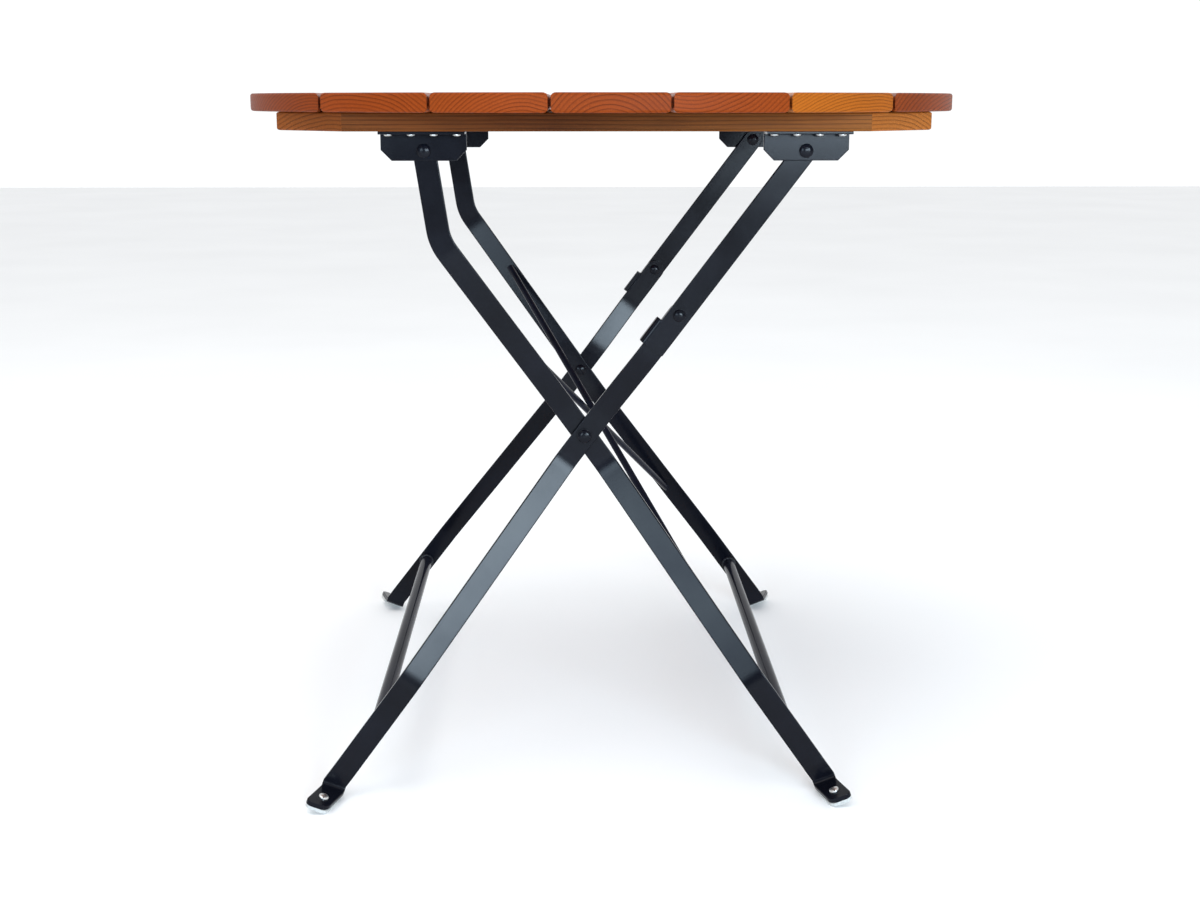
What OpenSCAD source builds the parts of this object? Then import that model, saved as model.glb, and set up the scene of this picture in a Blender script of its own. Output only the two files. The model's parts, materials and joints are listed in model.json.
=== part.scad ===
// Round slatted folding table: a slatted top on four steel brackets, an inner frame of bent
// legs, an outer frame of straight legs crossing it, and a pair of knee links that lock open.
// Millimetres. The origin is on the floor under the middle of the top, +Z up.
// The two steel sides are mirror images: the front side is at -Y, the back side at +Y.

/* [Table top] */
// Diameter of the round top
top_d = 800; // [760:5:840]
// Height of the top's upper face above the floor
top_h = 730; // [720:1:740]
// Thickness of a slat
slat_t = 19; // [16:1:22]
// Gap between two slats
slat_gap = 3; // [2:0.5:6]
// Radius along a slat's long edges
slat_edge_r = 5; // [2:0.5:8]
// Thickness of a batten
batten_t = 19; // [16:1:22]
// Width of a batten
batten_w = 80; // [70:1:90]
// Distance from the middle of the top to a batten's centre line
batten_y = 235; // [230:1:240]
// Length of a batten's longer, inner edge
batten_long = 688; // [640:2:700]
// Length of a batten's shorter, outer edge
batten_short = 532; // [500:2:560]

/* [Linkage seen from the side] */
// Distance between the two rows of bracket pivots
pivot_span = 392; // [380:1:404]
// How far the middle of the pivots is off the middle of the top
pivot_shift = 9; // [0:1:20]
// Depth of the bracket pivots below the battens
pivot_drop = 20; // [17:1:22]
// Where the legs cross, measured from the middle of the top
cross_x = -23; // [-33:1:-13]
// Height of the leg crossing
cross_z = 369.5; // [365:0.5:375]
// Height of the bend in the bent legs
bend_z = 579; // [560:1:590]
// Lean of the bent legs below their bend, from upright
bent_lean = 35.6; // [34:0.1:37]
// Centre-line radius of that bend
bend_r = 55; // [40:1:80]

/* [Flat bar] */
// Width of the flat bar
bar_w = 24; // [22:0.5:26]
// Thickness of the flat bar
bar_t = 5; // [4:0.5:5]
// Gap between two bars that turn on each other
bar_gap = 0.5; // [0.4:0.1:0.8]
// Distance from the middle of the table to the outer face of the knee links
side_y = 241; // [236:1:241]
// The same for the outer face of the straight legs at the crossing
waist_y = 224; // [220:1:226]
// The same where the straight legs stop splaying
splay_y = 310; // [300:1:316]
// The same at the straight legs' feet
foot_y = 324; // [318:1:330]

/* [Knee link] */
// Length of the link past the knee rivet
link_tail = 46; // [40:1:50]
// Length of the stop tab along the link's edge
tab_l = 31; // [26:1:32]

/* [Brackets] */
// Length of a bracket
bracket_l = 88; // [84:1:94]
// Height of a bracket
bracket_h = 30; // [28:1:34]
// Width of the flange that is screwed to the batten
bracket_w = 29; // [27:1:30]
// Thickness of the bracket's sheet
bracket_t = 3; // [2.5:0.5:3]
// Spacing of the four screws along a bracket
bracket_pitch = 23; // [20:0.5:24]

/* [Stretchers, braces and feet] */
// Diameter of a stretcher tube
stretcher_d = 16; // [14:1:18]
// Distance from the crossing to the stretchers, along the legs
stretcher_s = 366; // [350:1:380]
// Diameter of a brace rod
brace_d = 8; // [6:1:9]
// Distance up the bent leg from the crossing to a brace's upper end
brace_up = 165; // [150:1:180]
// Distance down the bent leg from the crossing to a brace's lower end
brace_down = 212; // [200:1:230]
// Length of a foot tab from its bend
foot_l = 42; // [38:1:46]
// Slope of the foot's bend line along X
foot_slope = 21; // [18:1:24]
// Thickness of a glide
glide_t = 3.5; // [3:0.5:4]

/* [Hidden] */
$fn = 48;
steel = [0.07, 0.08, 0.11];
zinc = [0.78, 0.79, 0.80];
wood = [0.63, 0.33, 0.19];
batten_wood = [0.45, 0.26, 0.15];
clear_plastic = [0.88, 0.87, 0.84];

// Number of slats, which run from front to back
slat_count = 7;

// Heights through the top
slat_z = top_h - slat_t;
batten_z = slat_z - batten_t;
pivot_z = batten_z - pivot_drop;
slat_pitch = (top_d + slat_gap) / slat_count;

// The pivots in the XZ plane: a and b on the brackets, c at the crossing, k at the knee
pa = [pivot_shift - pivot_span / 2, pivot_z];
pb = [pivot_shift + pivot_span / 2, pivot_z];
pc = [cross_x, cross_z];
// The knee's place makes the four pivots of the linkage fold flat
knee_s = (norm(pa - pc) - norm(pa - pb) + norm(pb - pc)) / 2;
pk = pc + (pb - pc) * knee_s / norm(pb - pc);
straight_lean = atan2(pb.x - pc.x, pb.y - pc.y);
pd = [pc.x - (bend_z - pc.y) * tan(bent_lean), bend_z];
bend_s = norm(pd - pc);
neck_lean = atan2(pd.x - pa.x, pa.y - pd.y);
neck_l = norm(pa - pd);

// Shares of the side profiles, along the leg from the crossing, down counted positive
knee_flat = 57;
flat_up = 36;
bent_flat_up = 90;
straight_flat_down = 34;
bent_flat_down = 40;
splay_s = 308;
heel_s = 425;
bent_inset = bar_t + bar_gap;

// Rivets and their holes, as radii
pivot_r = 4;
hole_r = 4.05;
pin_r = 2.5;
pin_hole_r = 2.55;
head_r = 7.25;
knee_head_r = 6.5;
head_h = 4;
turn_gap = 0.3;

// The feet
foot_bend_r = 4;
foot_screw_v = 26;
foot_corner = 7;
foot_head_r = 5.25;
foot_head_h = 3;
foot_slot_w = 1.3;
foot_slot_h = 1.4;
glide_v = 14;
reach = 60;
far = 1200;

// Shapes that make up one bar overlap by join, and skin keeps their faces out of one plane
join = 1;
skin = 0.02;

// Welded ends: clearance of a stretcher's square end, and of a brace rod's middle, from the leg
weld_gap = 1.1;
brace_end = 4.5;
brace_side = brace_d / 2 + 0.4;

// Crossing washers
washer_t = 1.2;

// Wood screws: the slats' from below, the brackets' into the battens
slat_screw_r = 2;
slat_screw_l = 31;
slat_screw_head_r = 4;
slat_screw_head_h = 2.4;
screw_step = slat_pitch / 4;
screw_near = 297;
screw_far = 312;
bracket_screw_r = 1.9;
bracket_screw_l = 16;
bracket_head_r = 4.2;
bracket_head_h = 2.4;
screw_play = 0.05;

// ---- shared helpers ----

// Unit normal to the left of a segment
function seg_normal(a, b) = [a.y - b.y, b.x - a.x] / norm(b - a);

// A path moved sideways by d, with mitred corners
function moved_path(p, d) = [
    for (i = [0 : len(p) - 1])
        let (
            n1 = seg_normal(p[max(i - 1, 0)], p[max(i, 1)]),
            n2 = seg_normal(p[min(i, len(p) - 2)], p[min(i + 1, len(p) - 1)])
        )
        p[i] + d * (n1 + n2) / (1 + n1 * n2)
];

// A closed outline between a path and its copy, d to the left
function band(p, d) = let (q = moved_path(p, d)) concat(p, [for (i = [len(q) - 1 : -1 : 0]) q[i]]);

// Points of an arc
function arc(c, r, a0, a1, n) = [for (i = [0 : n]) let (a = a0 + (a1 - a0) * i / n) c + r * [cos(a), sin(a)]];

// Draws the children for the front, the back, or both
module front() {
    mirror([0, 1, 0]) children();
}

module both_sides() {
    children();
    front() children();
}

// Local frame at a point of the XZ plane, with -Z down the leg and Y pointing outwards
module along(p, lean) {
    translate([p.x, 0, p.y]) rotate([0, lean, 0]) children();
}

// A rod along Y from y0 to y1
module y_rod(r, y0, y1) {
    translate([0, y0, 0]) rotate([-90, 0, 0]) cylinder(r = r, h = y1 - y0);
}

// Flat bar seen edge-on: its outer face follows path, a list of [distance down, y]
module ribbon(path, w) {
    rotate([0, 90, 0]) linear_extrude(w, center = true) polygon(band(path, -bar_t));
}

// A closed solid through Y from an outline drawn in the XZ plane
module through_y(y0, y1) {
    translate([0, y1, 0]) rotate([90, 0, 0]) linear_extrude(y1 - y0) children();
}

// Domed rivet head that grows outwards from y = 0
module dome_head(r, h) {
    rotate([-90, 0, 0]) rotate_extrude() polygon(concat([[0, 0], [r, 0]], [
        for (a = [0 : 15 : 90]) [r * cos(a), h * 0.3 + h * 0.7 * sin(a)]
    ]));
}

// Rivet along Y: shank from y0 to y1 with a domed head at each end
module rivet(r, head, h, y0, y1) {
    y_rod(r, y0, y1);
    translate([0, y1, 0]) dome_head(head, h);
    translate([0, y0, 0]) mirror([0, 1, 0]) dome_head(head, h);
}

// ---- wooden top ----

// Cross-section of a slat with its four long edges rounded
module slat_section(w) {
    r = slat_edge_r;
    translate([-w / 2 + r, 0]) square([w - 2 * r, slat_t]);
    translate([-w / 2, r]) square([w, slat_t - 2 * r]);
    for (x = [-1, 1], z = [r, slat_t - r]) translate([x * (w / 2 - r), z]) circle(r);
}

// Middle of slat i
function slat_x(i) = (i - (slat_count + 1) / 2) * slat_pitch;

// Places of a slat's four screws; the outer slats have theirs where the battens still reach
module at_slat_screws(i) {
    outer = i == 1 || i == slat_count;
    s = sign(slat_x(i));
    xs = outer ? [screw_near * s, screw_far * s] : [slat_x(i) - screw_step, slat_x(i) + screw_step];
    for (x = xs, y = [-1, 1])
        translate([x, y * (batten_y - (outer ? batten_w / 4 : 0)), 0]) children();
}

module slat(i) {
    color(wood) difference() {
        intersection() {
            translate([slat_x(i), top_d / 2, slat_z])
                rotate([90, 0, 0]) linear_extrude(top_d) slat_section(slat_pitch - slat_gap);
            translate([0, 0, slat_z - 1]) cylinder(d = top_d, h = slat_t + 2, $fn = 96);
        }
        at_slat_screws(i) translate([0, 0, slat_z - 1])
            cylinder(r = slat_screw_r + screw_play, h = slat_screw_l - batten_t + 2);
    }
}

module at_bracket_screws() {
    for (p = [pa, pb], i = [-1.5 : 1 : 1.5])
        translate([p.x + i * bracket_pitch, side_y + bar_gap + bracket_w / 2 + bracket_t / 2, batten_z])
            children();
}

// Back batten: a flat board whose ends are cut back to follow the round top
module batten() {
    color(batten_wood) difference() {
        translate([0, 0, batten_z]) linear_extrude(batten_t) polygon([
            [-batten_long / 2, batten_y - batten_w / 2],
            [batten_long / 2, batten_y - batten_w / 2],
            [batten_short / 2, batten_y + batten_w / 2],
            [-batten_short / 2, batten_y + batten_w / 2]
        ]);
        for (i = [1 : slat_count]) at_slat_screws(i) translate([0, 0, batten_z]) {
            translate([0, 0, -1]) cylinder(r = slat_screw_r + screw_play, h = batten_t + 2);
            translate([0, 0, -0.01])
                cylinder(r1 = slat_screw_head_r + 0.1, r2 = slat_screw_r, h = slat_screw_head_h + 0.1);
        }
        at_bracket_screws() translate([0, 0, -1])
            cylinder(r = bracket_screw_r + screw_play, h = bracket_screw_l);
    }
}

module slat_screws() {
    color(zinc) for (i = [1 : slat_count]) at_slat_screws(i) translate([0, 0, batten_z]) {
        cylinder(r1 = slat_screw_head_r, r2 = slat_screw_r, h = slat_screw_head_h);
        translate([0, 0, slat_screw_head_h]) cylinder(r = slat_screw_r, h = slat_screw_l - slat_screw_head_h);
    }
}

// ---- brackets ----

// Angle bracket at the back, centred on its pivot, with its lower corners cut off
module bracket(p) {
    l = bracket_l / 2;
    y0 = side_y + bar_gap;
    color(steel) difference() {
        union() {
            through_y(y0, y0 + bracket_t) polygon([
                [p.x - l, batten_z], [p.x - l, batten_z - bracket_h + 11],
                [p.x - l + 11, batten_z - bracket_h], [p.x + l - 11, batten_z - bracket_h],
                [p.x + l, batten_z - bracket_h + 11], [p.x + l, batten_z]
            ]);
            translate([p.x - l, y0, batten_z - bracket_t]) cube([bracket_l, bracket_w, bracket_t]);
        }
        translate([p.x, 0, p.y]) y_rod(hole_r, y0 - 1, y0 + bracket_t + 1);
        at_bracket_screws() translate([0, 0, -bracket_t - 1]) cylinder(r = bracket_screw_r + 0.3, h = bracket_t + 2);
    }
}

module bracket_screws() {
    color(zinc) both_sides() at_bracket_screws() {
        translate([0, 0, -bracket_t]) cylinder(r = bracket_screw_r, h = bracket_screw_l);
        translate([0, 0, -bracket_t]) mirror([0, 0, 1]) rotate([90, 0, 0]) dome_head(bracket_head_r, bracket_head_h);
    }
}

module bracket_rivets() {
    color(steel) both_sides() for (p = [pa, pb]) translate([p.x, 0, p.y])
        rivet(pivot_r, head_r, head_h, side_y - bar_t - turn_gap, side_y + bar_gap + bracket_t);
}

// ---- legs ----

// Outer face of the straight leg, from its knee end to its foot
straight_path = [
    [-knee_s - bar_w, side_y - bent_inset], [-knee_s + knee_flat, side_y - bent_inset],
    [-flat_up, waist_y], [straight_flat_down, waist_y],
    [splay_s, splay_y], [heel_s, foot_y], [heel_s + reach, foot_y]
];

// Outer face of the bent leg, from above its bend to its foot
bent_path = [
    [-bend_s - neck_l, side_y], [-bend_s + 20, side_y],
    [-bent_flat_up, waist_y - bent_inset], [bent_flat_down, waist_y - bent_inset],
    [splay_s, splay_y - bent_inset], [heel_s, foot_y - bent_inset], [heel_s + reach, foot_y - bent_inset]
];

// Angle between the bar and the square to its foot's bend line
function foot_slant(lean) = abs(lean) - foot_slope;

// How far the tab dips outwards in the foot's frame, so that its long edges lie level
function foot_dip(lean) = atan(tan(foot_slant(lean)) * tan(foot_slope));
function foot_half(lean) = bar_w / 2 / cos(foot_slant(lean));

// Sideways place of the tab's centre line at a distance v out from the leg's face
function tab_x(lean, v) = tan(foot_slant(lean)) * (2 * foot_bend_r - v);

// Height of the middle of the bend line that stands the glide's lower edge on the floor
function foot_z(lean) =
    (foot_half(lean) + tab_x(lean, glide_v)) * sin(foot_slope)
    + ((glide_v - foot_bend_r) * tan(foot_dip(lean)) + (bar_t + glide_t) / cos(foot_dip(lean))) * cos(foot_slope);

// Frame of a foot: X down along the bend line towards the table's middle, Z up the leg's face.
// The bent legs' feet are the same foot, turned over to the other side.
module at_foot(lean, y) {
    z = foot_z(lean);
    translate([pc.x - (pc.y - z) * tan(lean), y, z]) mirror([lean < 0 ? 1 : 0, 0, 0])
        rotate([0, foot_slope, 0]) children();
}

// The tab's own plane: origin where its upper face starts
module on_tab(lean) {
    translate([0, foot_bend_r, 0]) rotate([-foot_dip(lean), 0, 0]) children();
}

// Plan of the foot tab from v0 to its round-cornered end: it keeps the bar's slant to the bend line
module tab_plan(lean, v0) {
    h = foot_half(lean);
    c = foot_corner;
    slant = foot_slant(lean);
    x = tab_x(lean, foot_l - c);
    inset = h - c / cos(slant);
    polygon(concat(
        [[tab_x(lean, v0) - h, v0], [tab_x(lean, v0) + h, v0]],
        arc([x + inset, foot_l - c], c, slant, 90, 6),
        arc([x - inset, foot_l - c], c, 90, 180 + slant, 6)
    ));
}

// The foot's bend and its tab, with the hole for its glide screw
module foot(lean) {
    h = foot_half(lean) - 2 * skin;
    w = bar_w / 2 - skin;
    x = tab_x(lean, foot_bend_r);
    dip = foot_dip(lean);
    bend = [for (a = [0 : 18 : 72]) foot_bend_r * [1 - cos(a), 1 - sin(a)]];
    end = [foot_bend_r, 0] + foot_l * [cos(dip), -sin(dip)];
    side = concat([[0, foot_bend_r + 2 * join]], bend, [[foot_bend_r, 0], end]);
    difference() {
        intersection() {
            rotate([90, 0, 90]) linear_extrude(2 * reach, center = true)
                polygon(band(moved_path(side, -skin), 2 * skin - bar_t));
            union() {
                translate([x - h, -reach, -reach]) cube([2 * h, reach + foot_bend_r, reach + foot_bend_r]);
                translate([0, 0, -reach / 2]) linear_extrude(reach) tab_plan(lean, foot_bend_r - join);
                rotate([0, foot_slant(lean), 0]) translate([-w, -reach, foot_bend_r - join])
                    cube([2 * w, reach + foot_bend_r, reach]);
            }
        }
        at_foot_screw(lean) translate([0, 0, -bar_t - 1]) cylinder(r = pin_hole_r, h = bar_t + 2);
    }
}

// The glide screw's axis, square to the tab's upper face
module at_foot_screw(lean) {
    on_tab(lean) translate([tab_x(lean, foot_screw_v), foot_screw_v - foot_bend_r, 0]) children();
}

// Glide under the end of the tab, with a blind hole for the screw
module glide(lean, y) {
    color(clear_plastic) at_foot(lean, y) difference() {
        intersection() {
            translate([0, 0, -reach / 2]) linear_extrude(reach) tab_plan(lean, glide_v);
            on_tab(lean) translate([-reach, 0, -bar_t - glide_t]) cube([2 * reach, reach, glide_t]);
        }
        at_foot_screw(lean) translate([0, 0, -bar_t - glide_t + 1]) cylinder(r = pin_hole_r, h = glide_t);
    }
}

// Slotted pan-head screw down through the tab into the glide
module foot_screws(lean, y) {
    color(zinc) both_sides() at_foot(lean, y) at_foot_screw(lean) {
        translate([0, 0, -bar_t - glide_t + 1.2]) cylinder(r = pin_r, h = bar_t + glide_t - 1.2);
        difference() {
            rotate([90, 0, 0]) dome_head(foot_head_r, foot_head_h);
            translate([-foot_slot_w / 2, -foot_head_r - 1, foot_head_h - foot_slot_h])
                cube([foot_slot_w, 2 * foot_head_r + 2, foot_slot_h + 1]);
        }
    }
}

// A leg's straight run with its foot: path is its side profile, lean its angle
module leg_run(path, lean, top_s) {
    y = path[len(path) - 1].y;
    intersection() {
        along(pc, lean) intersection() {
            ribbon(path, bar_w);
            translate([0, 0, top_s - far / 2]) cube([bar_w + 2, far, far], center = true);
        }
        at_foot(lean, y) translate([-far / 2, -far / 2, foot_bend_r + join]) cube(far);
    }
    at_foot(lean, y) foot(lean);
}

// Pivot hole at a point of the XZ plane, through whatever bars are there
module pivot_hole(p) {
    translate([p.x, 0, p.y]) y_rod(hole_r, waist_y - 50, side_y + 50);
}

// Point at a distance down from p along a direction that leans from upright, and w to the right
function down_from(p, lean, d, w) = p + d * [sin(lean), -cos(lean)] + w * [cos(lean), sin(lean)];

module straight_leg() {
    y1 = side_y - bent_inset;
    w = bar_w / 2 + skin;
    turn = -straight_lean;
    color(steel) difference() {
        union() {
            leg_run(straight_path, straight_lean, knee_s);
            through_y(y1 - bar_t - skin, y1 + skin) polygon(concat(
                arc(pk, w, turn, 180 + turn, 24),
                [down_from(pk, turn, 4 * join, -w), down_from(pk, turn, 4 * join, w)]
            ));
        }
        pivot_hole(pk);
        pivot_hole(pc);
    }
}

// Length of the bent leg's two straight runs that its round bend takes up
bend_cut = bend_r * tan((bent_lean - neck_lean) / 2);

// Upper end of the bent leg, flat in its own plane: the neck below the bracket and the round bend
module bent_neck() {
    w = bar_w / 2 + skin;
    l = bend_cut + 4 * join;
    c = down_from(pd, bent_lean, bend_cut, bend_r);
    through_y(side_y - bar_t - skin, side_y + skin) polygon(concat(
        arc(pa, w, neck_lean, 180 + neck_lean, 24),
        arc(c, bend_r + w, 180 + neck_lean, 180 + bent_lean, 10),
        [down_from(pd, bent_lean, l, -w), down_from(pd, bent_lean, l, w)],
        arc(c, bend_r - w, 180 + bent_lean, 180 + neck_lean, 10)
    ));
}

module bent_leg() {
    color(steel) difference() {
        union() {
            leg_run(bent_path, -bent_lean, bend_s - bend_cut);
            bent_neck();
        }
        pivot_hole(pa);
        pivot_hole(pc);
    }
}

// ---- knee links ----

// Link from the bracket to past the knee, with its stop tab bent in over the straight leg's edge
module knee_link() {
    y0 = side_y - bar_t;
    l = norm(pb - pk);
    edge = bar_w / 2;
    color(steel) difference() {
        along(pk, straight_lean) {
            translate([-edge, y0, -link_tail]) cube([bar_w, bar_t, link_tail + l]);
            translate([0, 0, l]) y_rod(edge, y0, side_y);
            translate([-edge - bar_t - turn_gap, y0, -link_tail]) cube([bar_t + turn_gap, bar_t, tab_l]);
            translate([-edge - bar_t - turn_gap, y0 - bar_t - 2, -link_tail]) cube([bar_t, bar_t + 2, tab_l]);
        }
        pivot_hole(pb);
        pivot_hole(pk);
    }
}

// Outer part of the knee rivet, which stays with the link
module knee_rivet_head() {
    color(steel) translate([pk.x, 0, pk.y]) {
        y_rod(pivot_r, side_y - bar_t, side_y);
        translate([0, side_y, 0]) dome_head(knee_head_r, head_h);
    }
}

// Inner part of the knee rivets, which stays with the straight leg
module knee_rivet_tails() {
    y1 = side_y - bent_inset;
    color(steel) both_sides() translate([pk.x, 0, pk.y]) {
        y_rod(pivot_r, y1 - bar_t - skin, y1);
        translate([0, y1 - bar_t - skin, 0]) mirror([0, 1, 0]) dome_head(knee_head_r, head_h);
    }
}

// ---- crossing ----

module crossing_rivets() {
    color(steel) both_sides() translate([pc.x, 0, pc.y])
        rivet(pivot_r, head_r, head_h, waist_y - bent_inset - bar_t, waist_y + turn_gap + washer_t);
}

module crossing_washers() {
    color(steel) both_sides() translate([pc.x, waist_y + turn_gap, pc.y]) difference() {
        y_rod(head_r + 1.3, 0, washer_t);
        y_rod(hole_r, -1, washer_t + 1);
    }
}

// ---- stretchers and braces, welded to the legs' inner faces ----

// Inner face of a leg at a distance s down from the crossing, between path points i and i + 1
function inner_y(path, i, s) =
    let (slope = (path[i + 1].y - path[i].y) / (path[i + 1].x - path[i].x))
    path[i].y + slope * (s - path[i].x) - bar_t * sqrt(1 + slope * slope);

// Tube between the two legs of a frame
module stretcher(lean, path) {
    y = inner_y(path, 4, stretcher_s) - weld_gap;
    color(steel) along(pc, lean) translate([0, 0, -stretcher_s]) y_rod(stretcher_d / 2, -y, y);
}

// Rod from high on the back bent leg to low on the front one, offset by x to pass its twin
module brace(x) {
    high = [inner_y(bent_path, 1, -brace_up) - brace_end, brace_up];
    low = [brace_end - inner_y(bent_path, 3, brace_down), -brace_down];
    d = low - high;
    color(steel) along(pc, -bent_lean) translate([x, high.x, high.y]) rotate([atan2(-d.x, d.y), 0, 0])
        cylinder(d = brace_d, h = norm(d));
}

// ---- what is drawn ----

mirror([1, 0, 0]) slat(7);  // slat_1
slat(2);  // slat_2
slat(3);  // slat_3
slat(4);  // slat_4
slat(5);  // slat_5
slat(6);  // slat_6
slat(7);  // slat_7
front() batten();  // batten_front
batten();  // batten_back
slat_screws();
front() bracket(pa);  // bracket_front_left
front() bracket(pb);  // bracket_front_right
bracket(pa);  // bracket_back_left
bracket(pb);  // bracket_back_right
bracket_screws();
bracket_rivets();
front() bent_leg();  // bent_leg_front
bent_leg();  // bent_leg_back
stretcher(-bent_lean, bent_path);  // bent_leg_stretcher
brace(brace_side);  // brace_back_to_front
front() brace(-brace_side);  // brace_front_to_back
crossing_rivets();
crossing_washers();
front() glide(-bent_lean, foot_y - bent_inset);  // glide_bent_front
glide(-bent_lean, foot_y - bent_inset);  // glide_bent_back
foot_screws(-bent_lean, foot_y - bent_inset);  // bent_foot_screws
front() straight_leg();  // straight_leg_front
straight_leg();  // straight_leg_back
stretcher(straight_lean, straight_path);  // straight_leg_stretcher
front() glide(straight_lean, foot_y);  // glide_straight_front
glide(straight_lean, foot_y);  // glide_straight_back
foot_screws(straight_lean, foot_y);  // straight_foot_screws
knee_rivet_tails();
front() knee_link();  // knee_link_front
knee_link();  // knee_link_back
front() knee_rivet_head();  // knee_rivet_head_front
knee_rivet_head();  // knee_rivet_head_back
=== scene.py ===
"""Looks of a round slatted folding table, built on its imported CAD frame.

Metres, +Z up, the origin on the floor under the middle of the top. The near side is at -Y.
"""

import json

import bpy
import numpy as np
from bpy.props import FloatProperty, FloatVectorProperty, PointerProperty
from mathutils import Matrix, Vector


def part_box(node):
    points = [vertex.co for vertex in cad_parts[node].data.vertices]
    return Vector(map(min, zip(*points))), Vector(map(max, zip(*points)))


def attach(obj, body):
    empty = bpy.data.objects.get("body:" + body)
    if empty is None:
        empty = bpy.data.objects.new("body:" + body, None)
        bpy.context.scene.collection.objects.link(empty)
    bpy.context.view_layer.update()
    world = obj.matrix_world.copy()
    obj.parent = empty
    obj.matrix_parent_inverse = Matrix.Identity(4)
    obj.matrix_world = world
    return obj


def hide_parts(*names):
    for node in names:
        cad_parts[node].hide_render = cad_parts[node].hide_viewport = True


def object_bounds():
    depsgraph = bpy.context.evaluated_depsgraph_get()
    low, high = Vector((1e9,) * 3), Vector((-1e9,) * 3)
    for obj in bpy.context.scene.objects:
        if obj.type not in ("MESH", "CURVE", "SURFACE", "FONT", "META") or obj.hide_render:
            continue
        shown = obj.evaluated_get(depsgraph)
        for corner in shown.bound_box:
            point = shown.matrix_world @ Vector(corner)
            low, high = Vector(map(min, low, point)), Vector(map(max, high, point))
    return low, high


bl_info = {
    "name": "Folding table looks",
    "version": (1, 0, 0),
    "blender": (4, 5, 0),
    "location": "3D View > Sidebar > Folding Table",
    "description": "Slats, flat-bar legs, welds and finishes of a round folding table",
    "category": "Add Mesh",
}

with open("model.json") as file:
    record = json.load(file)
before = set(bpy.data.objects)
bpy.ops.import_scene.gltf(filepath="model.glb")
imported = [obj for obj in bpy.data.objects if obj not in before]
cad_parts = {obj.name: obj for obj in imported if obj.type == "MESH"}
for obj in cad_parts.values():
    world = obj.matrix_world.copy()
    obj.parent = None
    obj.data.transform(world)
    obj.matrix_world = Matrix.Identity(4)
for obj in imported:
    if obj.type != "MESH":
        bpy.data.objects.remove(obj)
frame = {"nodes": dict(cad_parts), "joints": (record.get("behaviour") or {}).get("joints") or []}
CAD_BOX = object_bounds()

# Pivots of the linkage, from the frame's joints; the knee's has no joint, so its rivet gives it
JOINTS = {j["name"]: np.array(j["pos_m"], float) for j in frame["joints"]}
BRACKET_LEFT = JOINTS["fold"][[0, 2]]
BRACKET_RIGHT = JOINTS["front_link_pivot"][[0, 2]]
CROSSING = JOINTS["leg_crossing"][[0, 2]]


def box_of(node):
    """Lowest and highest corner of a CAD node, as two arrays."""
    low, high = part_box(node)
    return np.array(low), np.array(high)


def plain(box):
    """A box as plain lists of numbers."""
    return [[float(c) for c in corner] for corner in box]


KNEE = np.mean(box_of("knee_rivet_head_back"), 0)[[0, 2]]
TOP_RADIUS = np.ptp(plain(CAD_BOX), axis=0)[0] / 2
SIDES = (("front", -1), ("back", 1))
SLATS = 7
# Flat strip beside a rounded edge, which keeps the face's shading flat
FLAT_STRIP = 0.0004


class TableTopSettings(bpy.types.PropertyGroup):
    """Sizes and colours of the wooden top."""

    edge_radius: FloatProperty(
        name="Edge radius", description="Rounding along a slat's long edges", default=0.005, unit="LENGTH"
    )
    rim_radius: FloatProperty(
        name="Rim radius", description="Rounding along the top's round rim", default=0.0028, unit="LENGTH"
    )
    batten_radius: FloatProperty(
        name="Batten edge", description="Rounding along a batten's edges", default=0.002, unit="LENGTH"
    )
    batten_cut: FloatProperty(
        name="Batten cut", description="How far a batten's slanted end is cut back", default=0.078,
        unit="LENGTH",
    )
    ring_spacing: FloatProperty(
        name="Ring spacing", description="Width of a growth ring", default=0.0036, unit="LENGTH"
    )
    slat_colour: FloatVectorProperty(
        name="Slat colour", description="Stained softwood of the slats", subtype="COLOR", size=3,
        default=(0.255, 0.050, 0.0085),
    )
    pale_colour: FloatVectorProperty(
        name="Pale slat colour", description="The most golden slat", subtype="COLOR", size=3,
        default=(0.370, 0.108, 0.012),
    )
    batten_colour: FloatVectorProperty(
        name="Batten colour", description="Stained softwood of the battens", subtype="COLOR", size=3,
        default=(0.120, 0.038, 0.0090),
    )


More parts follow.
